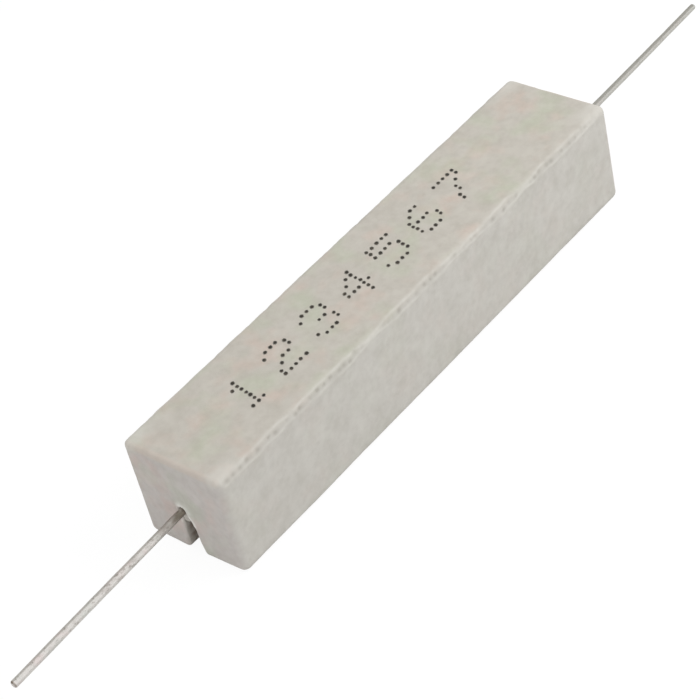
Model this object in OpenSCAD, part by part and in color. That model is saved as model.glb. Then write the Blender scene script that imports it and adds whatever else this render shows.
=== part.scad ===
// Axial wirewound resistor in a ceramic case
// A wound ceramic rod with pressed steel caps lies in a ceramic trough and is cast in with cement.
// +X runs along the leads, +Z is up, and the trough's open face rests at z = 0.

/* [Ceramic case] */
// Length of the case along the leads
case_l = 63.5; // [60:0.5:90]
// Width of the case across its open face
case_w = 12.7; // [11.6:0.1:18]
// Height of the case from its open face to its closed face
case_h = 12.2; // [12:0.1:18]
// Thickness of the long side walls
side_wall = 1.7; // [1.2:0.1:2.2]
// Thickness of the end walls
end_wall = 2.4; // [1.2:0.1:4]
// Thickness of the trough's closed floor, which lies uppermost
floor_wall = 1.9; // [1.2:0.1:2.1]
// Radius of the rounded outer edges and corners
edge_r = 0.85; // [0.3:0.05:1.1]
// Radius of the rounded corners inside the trough
pocket_r = 1.2; // [0.4:0.1:2]

/* [Lead slots in the end walls] */
// How far the leads' centre lies below the middle of the case's height
lead_drop = 0.67; // [0:0.01:1]
// How far the leads' centre lies to the +Y side of the middle of the case's width
lead_aside = 0.3; // [0:0.01:0.35]
// Radius of the arch that the lead lies under
slot_r = 0.8; // [0.55:0.05:1.2]
// Angle at which each side of a slot flares towards the open face
slot_flare = 2.5; // [1:0.5:10]
// Radius of the rounded corners at the slot's mouth
slot_lip_r = 0.7; // [0.2:0.05:1.2]

/* [Wound rod] */
// Least thickness of cement between the wound rod and the trough or the open face
cement_cover = 0.75; // [0.4:0.05:2]
// Room between each end cap and the end wall
end_room = 3.95; // [1.5:0.05:8]
// Diameter of the resistance wire
wire_d = 0.4; // [0.2:0.05:0.5]
// Distance from one turn of the wire to the next
wire_pitch = 1; // [0.8:0.05:2]
// Clearance between the wire and what it is wound on
wire_gap = 0.01; // [0.01:0.01:0.05]

/* [End caps] */
// Length of the rod that each cap covers
cap_l = 5; // [3.5:0.1:8]
// Thickness of the pressed steel
cap_wall = 0.4; // [0.25:0.05:0.5]
// Outer radius of the bend between a cap's skirt and its end
cap_bend_r = 0.9; // [0.6:0.05:1.2]

/* [Leads] */
// Diameter of the lead wire
lead_d = 0.8; // [0.5:0.05:1]
// Length of the near lead outside the case
lead_near_l = 23.6; // [5:0.1:60]
// Length of the far lead outside the case
lead_far_l = 26.5; // [5:0.1:60]
// Diameter of the upset head that is welded to the cap
head_d = 1.5; // [1.2:0.1:2.4]
// Thickness of the upset head
head_t = 0.35; // [0.2:0.05:0.8]
// Radius that rounds the cut tip of a lead
tip_r = 0.15; // [0.05:0.05:0.25]
// Angle by which the near lead is bent where it leaves the case
near_bend = 1.1; // [0:0.1:3]
// Angle by which the far lead is bent where it leaves the case
far_bend = 1; // [0:0.1:3]
// How steeply the bends lean, the far lead up and the near lead down
bend_lean = 41; // [0:1:90]
// How far the wire swells at its bend
bend_swell = 0.02; // [0.01:0.005:0.025]

/* [Cement] */
// Distance that the cement in the slots stays back from the end faces
creep_back = 0.3; // [0.1:0.05:1]
// Radius of cement round the lead in the slots
creep_r = 1.2; // [1:0.05:2]
// Clearance between the cast cement and what it holds
cast_gap = 0.03; // [0.01:0.01:0.1]

/* [Hidden] */
$fn = 64;

// How far a cut runs past the face that it opens
over = 1;

// The pocket inside the trough
pocket_l = case_l - 2 * end_wall;
pocket_w = case_w - 2 * side_wall;
pocket_top = case_h - floor_wall;
end_x = case_l / 2;

// The leads, and the arch that lies close over each and touches no more than the clearance
lead_r = lead_d / 2;
lead_z = case_h / 2 - lead_drop;
arch_room = slot_r - lead_r - cast_gap;
lead_y = min(lead_aside, arch_room);
slot_arch_z = lead_z - sqrt(arch_room * arch_room - lead_y * lead_y);

// The winding is a chain of straight pieces, so its corners stand off what it is wound on
turn_steps = 14;
wire_sides = 6;
step_factor = 1 / cos(180 / turn_steps);

// The wound rod is as thick as the pocket allows, from its highest turns inwards
wire_r = wire_d / 2;
wire_top_r = min(pocket_top - lead_z, pocket_w / 2 - lead_y, lead_z) - cement_cover;
wire_on_cap_r = wire_top_r - wire_r;
cap_r = (wire_on_cap_r - wire_r) / step_factor - wire_gap;
rod_r = cap_r - cap_wall;
wire_on_rod_r = (rod_r + wire_gap) * step_factor + wire_r;

// The rod's caps, measured along X from the middle of the rod
cap_inner_bend_r = cap_bend_r - cap_wall;
cap_end_x = pocket_l / 2 - end_room;
rod_half_l = cap_end_x - cap_wall;
cap_mouth_x = rod_half_l - cap_l;
climb_turns = 0.4;
tail_turns = 1.3;
climb_end_x = cap_mouth_x - wire_r - cast_gap;
climb_start_x = climb_end_x - climb_turns * wire_pitch;
wire_end_x = climb_end_x + tail_turns * wire_pitch;
wire_steps = ceil(2 * wire_end_x / wire_pitch * turn_steps);

// Block with every edge and corner rounded, standing on z = 0
module rounded_block(l, w, h, r) {
    translate([-l / 2 + r, -w / 2 + r, 0]) cube([l - 2 * r, w - 2 * r, h]);
    translate([-l / 2 + r, -w / 2, r]) cube([l - 2 * r, w, h - 2 * r]);
    translate([-l / 2, -w / 2 + r, r]) cube([l, w - 2 * r, h - 2 * r]);
    for (y = [-1, 1], z = [r, h - r])
        translate([-l / 2 + r, y * (w / 2 - r), z])
            rotate([0, 90, 0]) cylinder(r = r, h = l - 2 * r);
    for (x = [-1, 1], z = [r, h - r])
        translate([x * (l / 2 - r), -w / 2 + r, z])
            rotate([-90, 0, 0]) cylinder(r = r, h = w - 2 * r);
    for (x = [-1, 1], y = [-1, 1]) {
        translate([x * (l / 2 - r), y * (w / 2 - r), r]) cylinder(r = r, h = h - 2 * r);
        for (z = [r, h - r])
            translate([x * (l / 2 - r), y * (w / 2 - r), z]) sphere(r = r);
    }
}

// Rectangle with rounded corners about the origin
module rounded_rect(l, w, r) {
    square([l - 2 * r, w], center = true);
    square([l, w - 2 * r], center = true);
    for (x = [-1, 1], y = [-1, 1])
        translate([x * (l / 2 - r), y * (w / 2 - r)]) circle(r);
}

// Space inside the trough, from the height z up to the trough's floor, smaller by gap all round
module pocket(z, gap) {
    intersection() {
        translate([0, 0, z])
            linear_extrude(pocket_top - gap - z)
                rounded_rect(pocket_l - 2 * gap, pocket_w - 2 * gap, pocket_r);
        translate([-end_x, 0, 0])
            rotate([90, 0, 90])
                linear_extrude(case_l)
                    pocket_section(gap);
    }
}

// Section across the pocket, with its two corners rounded at the trough's floor
module pocket_section(gap) {
    half = pocket_w / 2 - gap;
    top = pocket_top - gap;
    translate([-half, -over]) square([2 * half, top - pocket_r + over]);
    translate([-half + pocket_r, -over]) square([2 * (half - pocket_r), top + over]);
    for (y = [-1, 1])
        translate([y * (half - pocket_r), top - pocket_r]) circle(pocket_r);
}

// Half-width of a slot at its open mouth, where the sides have left the arch along tangents
function slot_mouth_y(r) = r * cos(slot_flare) + (slot_arch_z + r * sin(slot_flare)) * tan(slot_flare);

// Outline of a lead slot in the plane across the leads, y to the right and z up, smaller by gap
module slot_outline(gap) {
    r = slot_r - gap;
    mouth_y = slot_mouth_y(r);
    side_y = r * cos(slot_flare);
    side_z = slot_arch_z + r * sin(slot_flare);
    translate([0, slot_arch_z]) circle(r);
    polygon([
        [-mouth_y, -over], [mouth_y, -over], [mouth_y, 0],
        [side_y, side_z], [-side_y, side_z], [-mouth_y, 0]
    ]);
}

// What is cut from the two corners at a slot's mouth, so that an arc joins its side and the rim
module slot_lips() {
    mouth_y = slot_mouth_y(slot_r);
    side_length = slot_lip_r * tan((90 - slot_flare) / 2);
    lip_y = mouth_y + side_length;
    touch_y = mouth_y - side_length * sin(slot_flare);
    touch_z = side_length * cos(slot_flare);
    for (side = [0, 1])
        mirror([side, 0])
            difference() {
                polygon([
                    [mouth_y, -over], [lip_y, -over], [lip_y, slot_lip_r],
                    [touch_y, touch_z], [mouth_y, 0]
                ]);
                translate([lip_y, slot_lip_r]) circle(slot_lip_r);
            }
}

// Runs a section through the end wall on one side, -1 near and 1 far, between two distances in X
module slot_run(side, x_from, x_to) {
    translate([side > 0 ? x_from : -x_to, 0, 0])
        rotate([90, 0, 90])
            linear_extrude(x_to - x_from)
                children();
}

// Turns a shape made along +Z so that it lies along the leads, pointing to one side
module along_lead(side) {
    translate([0, lead_y, lead_z]) rotate([0, side * 90, 0]) children();
}

// Half-section of a round bar between two distances along its axis, with its far corner rounded
module bar_half_section(r, from, to, bend) {
    translate([0, from]) square([r, to - from - bend]);
    translate([0, from]) square([r - bend, to - from]);
    intersection() {
        translate([r - bend, to - bend]) circle(bend);
        translate([0, from]) square([r, to - from]);
    }
}

// The space that the element needs in the cement, with a clearance all round
module element_space() {
    wound_r = wire_on_rod_r + wire_r + cast_gap;
    mouth_x = climb_start_x - wire_r - cast_gap;
    tail_x = wire_end_x + wire_pitch / turn_steps + wire_r + cast_gap;
    translate([-mouth_x, lead_y, lead_z]) rotate([0, 90, 0]) cylinder(r = wound_r, h = 2 * mouth_x);
    for (side = [-1, 1])
        along_lead(side) {
            translate([0, 0, mouth_x])
                cylinder(r = wire_top_r + cast_gap, h = tail_x - mouth_x);
            rotate_extrude()
                bar_half_section(
                    cap_r + cast_gap, mouth_x, cap_end_x + cast_gap, cap_bend_r + cast_gap
                );
            translate([0, 0, cap_end_x])
                cylinder(r = head_d / 2 + cast_gap, h = head_t + cast_gap);
            translate([0, 0, cap_end_x])
                cylinder(r = lead_r + cast_gap, h = end_x - cap_end_x + over);
        }
}

// Point of the winding's surface at one step along the wire and one corner of its section
function wire_x(i) = -wire_end_x + i * wire_pitch / turn_steps;
function climb(x) = min(1, max(0, (abs(x) - climb_start_x) / (climb_end_x - climb_start_x)));
function wire_line_r(x) = wire_on_rod_r + climb(x) * (wire_on_cap_r - wire_on_rod_r);
function wire_point(i, j) =
    let (turn = i * 360 / turn_steps, round = j * 360 / wire_sides)
    let (r = wire_line_r(wire_x(i)) + wire_r * cos(round))
    [wire_x(i) + wire_r * sin(round), lead_y + r * cos(turn), lead_z + r * sin(turn)];
function wire_corner(i, j) = i * wire_sides + j % wire_sides;

// Ceramic trough: pressed and fired in one piece, open below, with a slot in each end wall
module ceramic_case() {
    color([0.76, 0.75, 0.71])
        difference() {
            rounded_block(case_l, case_w, case_h, edge_r);
            pocket(-over, 0);
            for (side = [-1, 1])
                slot_run(side, pocket_l / 2 - pocket_r, end_x + over) {
                    slot_outline(0);
                    slot_lips();
                }
        }
}

// Cast cement: fills the trough round the element, level with the rim, and creeps along the leads
module cement_filling() {
    color([0.86, 0.85, 0.81])
        difference() {
            union() {
                pocket(0, cast_gap);
                for (side = [-1, 1])
                    intersection() {
                        slot_run(side, pocket_l / 2 - pocket_r, end_x - creep_back)
                            slot_outline(cast_gap);
                        along_lead(side) cylinder(r = creep_r, h = end_x);
                    }
            }
            element_space();
        }
}

// Ceramic rod that carries the winding, with ends rounded to fit the inside of the caps
module core_rod() {
    color([0.9, 0.88, 0.82])
        for (side = [-1, 1])
            along_lead(side)
                rotate_extrude() bar_half_section(rod_r, 0, rod_half_l, cap_inner_bend_r);
}

// Resistance wire: one open layer on the rod, whose ends climb on to the caps and are welded there
module resistance_winding() {
    color([0.45, 0.42, 0.4])
        polyhedron(
            points = [for (i = [0:wire_steps], j = [0:wire_sides - 1]) wire_point(i, j)],
            faces = concat(
                [[for (j = [0:wire_sides - 1]) wire_corner(0, j)]],
                [for (i = [0:wire_steps - 1], j = [0:wire_sides - 1])
                    [wire_corner(i, j), wire_corner(i + 1, j), wire_corner(i + 1, j + 1)]],
                [for (i = [0:wire_steps - 1], j = [0:wire_sides - 1])
                    [wire_corner(i, j), wire_corner(i + 1, j + 1), wire_corner(i, j + 1)]],
                [[for (j = [wire_sides - 1:-1:0]) wire_corner(wire_steps, j)]]
            )
        );
}

// Pressed steel cap: a cup pushed over the end of the rod
module end_cap(side) {
    color([0.7, 0.7, 0.7])
        along_lead(side)
            rotate_extrude()
                difference() {
                    bar_half_section(cap_r, cap_mouth_x, cap_end_x, cap_bend_r);
                    bar_half_section(rod_r, cap_mouth_x - over, rod_half_l, cap_inner_bend_r);
                }
}

module end_cap_near() {
    end_cap(-1);
}

module end_cap_far() {
    end_cap(1);
}

// Tinned copper lead: a wire with an upset head against the cap, a slight bend and a rounded cut tip
module lead(side, out_l, bend) {
    color([0.8, 0.79, 0.76])
        along_lead(side) {
            translate([0, 0, cap_end_x]) cylinder(r = head_d / 2, h = head_t);
            translate([0, 0, cap_end_x]) cylinder(r = lead_r, h = end_x - bend_swell - cap_end_x);
            translate([0, 0, end_x]) {
                sphere(r = lead_r + bend_swell);
                rotate([0, 0, side * (90 + bend_lean)])
                    rotate([0, bend, 0])
                        rotate_extrude() bar_half_section(lead_r, bend_swell, out_l, tip_r);
            }
        }
}

module lead_near() {
    lead(-1, lead_near_l, near_bend);
}

module lead_far() {
    lead(1, lead_far_l, far_bend);
}

ceramic_case();
cement_filling();
core_rod();
resistance_winding();
end_cap_near();
end_cap_far();
lead_near();
lead_far();
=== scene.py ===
import math

import bpy
import numpy as np
from mathutils import Matrix, Vector


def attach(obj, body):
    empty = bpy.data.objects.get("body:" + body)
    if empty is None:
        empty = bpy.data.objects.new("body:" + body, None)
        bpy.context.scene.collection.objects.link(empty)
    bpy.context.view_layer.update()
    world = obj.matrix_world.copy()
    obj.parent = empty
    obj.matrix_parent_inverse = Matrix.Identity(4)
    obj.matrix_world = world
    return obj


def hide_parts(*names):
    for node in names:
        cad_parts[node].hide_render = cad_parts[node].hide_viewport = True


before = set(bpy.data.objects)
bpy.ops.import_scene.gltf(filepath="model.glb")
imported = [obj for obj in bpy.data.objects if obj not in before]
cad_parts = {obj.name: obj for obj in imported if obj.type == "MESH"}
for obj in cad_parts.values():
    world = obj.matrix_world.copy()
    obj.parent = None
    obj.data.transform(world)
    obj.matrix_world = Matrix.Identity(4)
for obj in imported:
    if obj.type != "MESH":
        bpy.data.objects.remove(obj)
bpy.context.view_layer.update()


# Core rod
# A plain fired ceramic rod that carries the winding. It keeps its CAD mesh and only gets
# its finish: a dense white body with a faint grain.

def finish(name, colour, roughness, metallic=0.0):
    """A new material: its shader, its node tree and the object's own coordinates."""
    mat = bpy.data.materials.new(name)
    mat.use_nodes = True
    tree = mat.node_tree
    shader = tree.nodes["Principled BSDF"]
    shader.inputs["Base Color"].default_value = (*colour, 1)
    shader.inputs["Roughness"].default_value = roughness
    shader.inputs["Metallic"].default_value = metallic
    coord = tree.nodes.new("ShaderNodeTexCoord").outputs["Object"]
    return mat, tree, shader, coord


def grain(tree, coord, size_mm, detail=3.0, rough=0.5, stretch=(1, 1, 1), shift=0.0):
    """Soft noise with lumps of about that size, between 0 and 1 round 0.5."""
    place = tree.nodes.new("ShaderNodeMapping")
    place.inputs["Scale"].default_value = stretch
    place.inputs["Location"].default_value = (shift, shift * 1.7, shift * 0.6)
    tree.links.new(coord, place.inputs["Vector"])
    noise = tree.nodes.new("ShaderNodeTexNoise")
    noise.inputs["Scale"].default_value = 1000.0 / size_mm
    noise.inputs["Detail"].default_value = detail
    noise.inputs["Roughness"].default_value = rough
    tree.links.new(place.outputs[0], noise.inputs["Vector"])
    return noise.outputs[0]


def between(tree, value, low, high, to_low=0.0, to_high=1.0):
    """Value moved from low..high to to_low..to_high, and held at both ends."""
    node = tree.nodes.new("ShaderNodeMapRange")
    node.inputs["From Min"].default_value = low
    node.inputs["From Max"].default_value = high
    node.inputs["To Min"].default_value = to_low
    node.inputs["To Max"].default_value = to_high
    tree.links.new(value, node.inputs["Value"])
    return node.outputs[0]


def tint(tree, base, colour, share, blend="MIX"):
    """Base colour blended towards another by share, which is a socket from 0 to 1."""
    node = tree.nodes.new("ShaderNodeMix")
    node.data_type = "RGBA"
    node.blend_type = blend
    tree.links.new(share, node.inputs[0])
    if isinstance(base, tuple):
        node.inputs[6].default_value = (*base, 1)
    else:
        tree.links.new(base, node.inputs[6])
    node.inputs[7].default_value = (*colour, 1)
    return node.outputs[2]


def painted(tree, name):
    """The value of one of the mesh's own attributes."""
    node = tree.nodes.new("ShaderNodeAttribute")
    node.attribute_name = name
    return node.outputs["Fac"]


def product(tree, a, b):
    """Two values multiplied."""
    node = tree.nodes.new("ShaderNodeMath")
    node.operation = "MULTIPLY"
    tree.links.new(a, node.inputs[0])
    tree.links.new(b, node.inputs[1])
    return node.outputs[0]


def relief(tree, shader, height, depth_mm, under=None):
    """Bump of that depth on the shader, over another bump if one is given."""
    node = tree.nodes.new("ShaderNodeBump")
    node.inputs["Strength"].default_value = 1.0
    node.inputs["Distance"].default_value = depth_mm / 1000
    tree.links.new(height, node.inputs["Height"])
    if under:
        tree.links.new(under, node.inputs["Normal"])
    tree.links.new(node.outputs[0], shader.inputs["Normal"])
    return node.outputs[0]


def dress(node, mat):
    """Puts a material on a CAD node in place of its plain one."""
    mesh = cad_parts[node].data
    mesh.materials.clear()
    mesh.materials.append(mat)


rod_mat, tree, shader, coord = finish("rod_ceramic", (0.78, 0.75, 0.67), 0.55)
specks = between(tree, grain(tree, coord, 0.35), 0.35, 0.65)
tree.links.new(tint(tree, (0.82, 0.79, 0.71), (0.7, 0.67, 0.58), specks), shader.inputs["Base Color"])
relief(tree, shader, grain(tree, coord, 0.15), 0.01)
dress("core_rod", rod_mat)


# Resistance winding
# Bare resistance wire, drawn and wound in one open layer, its two ends welded to the caps.

wire_mat, tree, shader, coord = finish("resistance_wire", (0.17, 0.15, 0.13), 0.38, 1.0)
draw_marks = grain(tree, coord, 0.25, detail=4)
tree.links.new(
    tint(tree, (0.24, 0.21, 0.19), (0.11, 0.09, 0.08), between(tree, draw_marks, 0.4, 0.7)),
    shader.inputs["Base Color"],
)
tree.links.new(between(tree, draw_marks, 0.3, 0.7, 0.3, 0.5), shader.inputs["Roughness"])
dress("resistance_winding", wire_mat)


# End caps
# Two pressed steel cups, nickel plated, pushed over the ends of the rod.

cap_mat, tree, shader, coord = finish("cap_steel", (0.5, 0.49, 0.47), 0.35, 1.0)
plating = grain(tree, coord, 0.9, detail=4)
tree.links.new(
    tint(tree, (0.56, 0.55, 0.52), (0.36, 0.34, 0.31), between(tree, plating, 0.45, 0.75)),
    shader.inputs["Base Color"],
)
tree.links.new(between(tree, plating, 0.3, 0.7, 0.28, 0.48), shader.inputs["Roughness"])
relief(tree, shader, grain(tree, coord, 0.2, stretch=(0.2, 1, 1)), 0.006)
dress("end_cap_near", cap_mat)
dress("end_cap_far", cap_mat)


# Ceramic case
# One pressed and fired ceramic trough, open below, unglazed. Its end walls have a narrow
# round-topped slot for the lead. The long upper edges are pitted where the press tool left them.

# Half the length, half the width and the whole height. Every length here is in mm.
CASE_HALF = np.array([31.75, 6.35, 12.2])
EDGE = 0.85
# The pocket's half length, half width, height and corner radius
POCKET_X, POCKET_Y, POCKET_Z, POCKET_R = 29.35, 4.65, 10.3, 1.2
# The slot's rim is rounded by RIM_R, and below WIDEN_Z by more and more, up to MOUTH_R at MOUTH_H
RIM_R, MOUTH_R, MOUTH_H, WIDEN_Z = 0.26, 0.5, 0.75, 2.2
# How far behind the end face the slot's straight wall starts
RIM_DEPTH = 0.6
# Spacing of the lines near an edge and away from it, and the distance over which it grows
FINE, COARSE, FINE_REACH = 0.11, 0.33, 1.8
# Shares of the slot's outline that a side, a rounded edge and half the top are drawn into
SIDE_SHARE, EDGE_SHARE, TOP_SHARE = 0.38, 0.03, 0.09
# The slot's outline as y and z, from the mouth on the -Y side over the arch to the other side
SLOT_LINE = np.array([
    (-0.84, 0.75), (-0.77, 1.6), (-0.72, 2.7), (-0.65, 3.6), (-0.52, 4.3), (-0.33, 4.8), (-0.14, 5.2),
    (-0.05, 5.5), (0.04, 5.74), (0.2, 5.9), (0.42, 5.95), (0.65, 5.88), (0.81, 5.68), (0.84, 5.4),
    (0.77, 4.9), (0.68, 4.3), (0.67, 3.7), (0.74, 3.0), (0.82, 2.2), (0.89, 1.5), (1.0, 0.75)])


def cloud(p, size, seed):
    """Smooth random values from -1 to 1 at points p, in mm. Each corner of a lattice of that
    size has a random number, and an S curve blends the eight corners round a point."""
    q = np.asarray(p, float) / size + 4096.0
    cell = np.floor(q).astype(np.int64)
    f = q - cell
    f = f * f * (3 - 2 * f)
    out = 0.0
    for corner in range(8):
        step = np.array([corner & 1, corner >> 1 & 1, corner >> 2 & 1])
        c = cell + step
        h = c[..., 0] * 73856093 ^ c[..., 1] * 19349663 ^ c[..., 2] * 83492791 ^ seed * 961748927
        h = (h ^ (h >> 13)) * 1274126177 & 0xFFFFFFFF
        h = (h ^ (h >> 15)) * 668265263 & 0xFFFFFFFF
        value = ((h >> 8) & 0xFFFF) / 32767.5 - 1
        weight = np.prod(np.where(step, f, 1 - f), axis=-1)
        out = out + value * weight
    return out


def steps(a, b, fine, coarse, reach):
    """Values from a to b whose spacing grows from fine at both ends to coarse past reach."""
    span = abs(b - a)
    d = np.linspace(0, span, 2000)
    near_end = np.minimum(d, span - d)
    density = 1 / (fine + (coarse - fine) * np.clip(near_end / reach, 0, 1))
    total = np.concatenate([[0], np.cumsum((density[1:] + density[:-1]) / 2 * np.diff(d))])
    count = int(math.ceil(total[-1]))
    return a + np.interp(np.linspace(0, total[-1], count + 1), total, d) * np.sign(b - a)


def slot_line(share):
    """The slot's outline as a smooth curve through its measured points, each piece a cubic whose
    slope at a point follows its two neighbours. Gives y, z and the normal into the slot at each
    share of its length, from the mouth on the -Y side over the arch to the other side."""
    before = 2 * SLOT_LINE[:1] - SLOT_LINE[1:2]
    after = 2 * SLOT_LINE[-1:] - SLOT_LINE[-2:-1]
    padded = np.concatenate([before, SLOT_LINE, after])
    t = np.linspace(0, len(SLOT_LINE) - 1 - 1e-9, 1500)
    i = t.astype(int)
    f = (t - i)[:, None]
    p0, p1, p2, p3 = (padded[i + k] for k in range(4))
    curve = 0.5 * (2 * p1 + (p2 - p0) * f + (2 * p0 - 5 * p1 + 4 * p2 - p3) * f ** 2
                   + (3 * p1 - p0 - 3 * p2 + p3) * f ** 3)
    length = np.concatenate([[0], np.cumsum(np.linalg.norm(np.diff(curve, axis=0), axis=1))])
    slope = np.gradient(curve, axis=0)
    slope /= np.linalg.norm(slope, axis=1, keepdims=True)
    at = np.asarray(share) * length[-1]
    return [np.interp(at, length, c) for c in (curve[:, 0], curve[:, 1], slope[:, 1], -slope[:, 0])]


def across():
    """The path across the case, from the rim on the -Y side over the top to the other rim.
    Every point has its place on the core rectangle, its normal, its place on the slot's outline,
    the slot's normal there, how far up the side it is, and how far over the top. A row below
    the core is part of the rim's rounding and has a negative z in its normal."""
    e = np.radians(np.linspace(90, 0, 8))[:-1]
    side = steps(EDGE, CASE_HALF[2] - EDGE, FINE, COARSE, FINE_REACH)[:-1]
    a = np.radians(np.linspace(0, 90, 15))[:-1]
    half_top = steps(-(CASE_HALF[1] - EDGE), CASE_HALF[1] - EDGE, FINE, COARSE, FINE_REACH)
    half_top = half_top[half_top < -1e-6]
    core_y, core_z = CASE_HALF[1] - EDGE, CASE_HALF[2] - EDGE
    rise = (side - EDGE) / (core_z - EDGE)
    over = (half_top + core_y) / core_y
    up = np.concatenate([0 * e, rise, 1 + 0 * a, 1 + 0 * over])
    turn = np.concatenate([0 * e, 0 * side, a / (np.pi / 2), 1 + over])
    ones = np.ones_like
    cy = np.concatenate([-core_y * ones(e), -core_y * ones(side), -core_y * ones(a), half_top])
    cz = np.concatenate([EDGE * ones(e), side, core_z * ones(a), core_z * ones(over)])
    ny = np.concatenate([-np.cos(e), -ones(side), -np.cos(a), 0 * over])
    nz = np.concatenate([-np.sin(e), 0 * side, np.sin(a), ones(over)])
    share = np.concatenate([
        0 * e, SIDE_SHARE * rise, SIDE_SHARE + EDGE_SHARE * a / (np.pi / 2),
        SIDE_SHARE + EDGE_SHARE + TOP_SHARE * over])
    left = np.stack([cy, cz, ny, nz, share, up, turn], -1)
    middle = np.array([[0, core_z, 0, 1, 0.5, 1, 2]])
    right = left[::-1] * np.array([-1, 1, -1, 1, 1, 1, 1])
    right[:, 4] = 1 - right[:, 4]
    rows = np.concatenate([left, middle, right])
    sy, sz, my, mz = slot_line(rows[:, 4])
    return np.column_stack([rows[:, :4], sy, sz, my, mz, rows[:, 5:]]), len(left)


PATH, MIDDLE = across()
SIGN = np.where(np.arange(len(PATH)) < MIDDLE, -1.0, 1.0)
BELOW = PATH[:, 3] < -1e-9
SIN_E = np.where(BELOW, -PATH[:, 3], 0.0)
COS_E = np.where(BELOW, np.abs(PATH[:, 2]), 1.0)


def line(x, y, z, nx, ny, nz):
    """One line of the case across its length: places and normals of all its points."""
    v = len(PATH)
    place = np.stack([np.broadcast_to(np.asarray(c, float), v) for c in (x, y, z)], -1)
    normal = np.stack([np.broadcast_to(np.asarray(c, float), v) for c in (nx, ny, nz)], -1)
    return place, normal / np.maximum(np.linalg.norm(normal, axis=-1, keepdims=True), 1e-9)


def section(x):
    """Across the case at x: the core rectangle pushed out by the edge radius along its normal."""
    cy, cz, ny, nz = PATH[:, :4].T
    return line(x, cy + EDGE * ny, cz + EDGE * nz, 0, ny, nz)


def end_lines():
    """The far end from the last section to the pocket's straight run. The corner turns the
    section's normal by b towards +X. The end face blends the core rectangle into the slot's
    outline, moved back by the rim's radius. The rim turns from the face to the slot's wall."""
    cy, cz, ny, nz, sy, sz, my, mz, pf, pt = PATH.T
    lx = CASE_HALF[0]
    out, stage = [], []
    core_x = lx - EDGE
    for b in np.radians(np.linspace(0, 90, 11))[1:]:
        n = (math.sin(b) * COS_E, math.cos(b) * ny, np.where(BELOW, nz, math.cos(b) * nz))
        out.append(line(core_x + EDGE * n[0], cy + EDGE * n[1], cz + EDGE * n[2], *n))
        stage.append(b / (np.pi / 2))
    widened = np.clip((WIDEN_Z - sz) / (WIDEN_Z - MOUTH_H), 0, 1)
    rim = RIM_R + (MOUTH_R - RIM_R) * widened ** 1.5
    rim_y, rim_z = sy - rim * my, sz - rim * mz
    for t in steps(0, 1, 0.018, 0.05, 0.25)[1:]:
        back = EDGE + (MOUTH_R - EDGE) * t
        drop = EDGE + (MOUTH_H - EDGE) * t
        y = cy + (rim_y - cy) * t
        z = np.where(BELOW, drop * (1 - SIN_E), cz + (rim_z - cz) * t)
        out.append(line(lx - back * (1 - COS_E), y, z, COS_E, 0, np.where(BELOW, -SIN_E, 0)))
        stage.append(1 + 0.8 * t)
    for w in np.radians(np.linspace(0, 90, 8))[1:]:
        turn_y, turn_x = math.sin(w), math.cos(w)
        x = lx - rim + rim * turn_x - np.where(BELOW, MOUTH_R * (1 - COS_E) * turn_x, 0)
        y = rim_y + rim * turn_y * my - np.where(BELOW, MOUTH_R * (1 - COS_E) * turn_y * my, 0)
        z = np.where(BELOW, MOUTH_H * (1 - SIN_E), rim_z + rim * turn_y * mz)
        out.append(line(x, y, z, turn_x * COS_E, turn_y * my * COS_E,
                        np.where(BELOW, -SIN_E, turn_y * mz)))
        stage.append(1.8 + 0.1 * w / (np.pi / 2))
    wall_y = sy - np.where(BELOW, MOUTH_R * (1 - COS_E) * my, 0)
    wall_z = np.where(BELOW, MOUTH_H * (1 - SIN_E), sz)
    for x in np.linspace(lx - RIM_DEPTH, POCKET_X, 12):
        out.append(line(x, wall_y, wall_z, 0, my * COS_E, np.where(BELOW, -SIN_E, mz)))
        stage.append(1.9 + 0.1 * (lx - x) / (lx - POCKET_X))
    flat_y = POCKET_Y - POCKET_R
    edge_z = np.where(BELOW, 0.0, pf * POCKET_Z)
    edge_y = np.where(pt < 1, flat_y, flat_y * (2 - pt)) * SIGN
    inner = []
    for t in np.linspace(0, 1, 5)[1:]:
        y, z = wall_y + (edge_y - wall_y) * t, wall_z + (edge_z - wall_z) * t
        inner.append(line(POCKET_X, y, z, -1, 0, 0))
    corner_top = POCKET_Z - POCKET_R
    for b in np.radians(np.linspace(0, 90, 6))[1:]:
        reach = flat_y + POCKET_R * math.sin(b)
        crease = corner_top + POCKET_R * math.cos(b)
        y_abs = np.where(pt < 1, reach + (flat_y - reach) * np.clip(pt, 0, 1), flat_y * (2 - pt))
        arc = corner_top + np.sqrt(np.maximum(POCKET_R ** 2 - np.maximum(y_abs - flat_y, 0) ** 2, 0))
        z = np.where(pf < 1, pf * crease, np.where(pt < 1, arc, POCKET_Z))
        x = POCKET_X - POCKET_R + POCKET_R * math.cos(b)
        inner.append(line(x, y_abs * SIGN, z, 0, -SIGN, 0))
    return out, stage, inner


# How far the two ridges of each long upper edge stand out, and how wide they are
UPPER_RIDGE, LOWER_RIDGE, RIDGE_WIDTH = 0.045, 0.040, 0.17
# How deep the surface lies between parted ridges, in the pits and in the chips
BETWEEN_DEPTH, PIT_DEPTH, CHIP_DEPTH = 0.03, 0.10, 0.07
# The run of the pits, the step from one to the next and their radius, each from and to
PIT_RUN, PIT_STEP, PIT_R = (-31.2, 31.0), (0.55, 1.9), (0.15, 0.30)
# The near end's top edge is a curve of this power, where an arc has 2
SQUARE_POWER = 3.4


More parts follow.
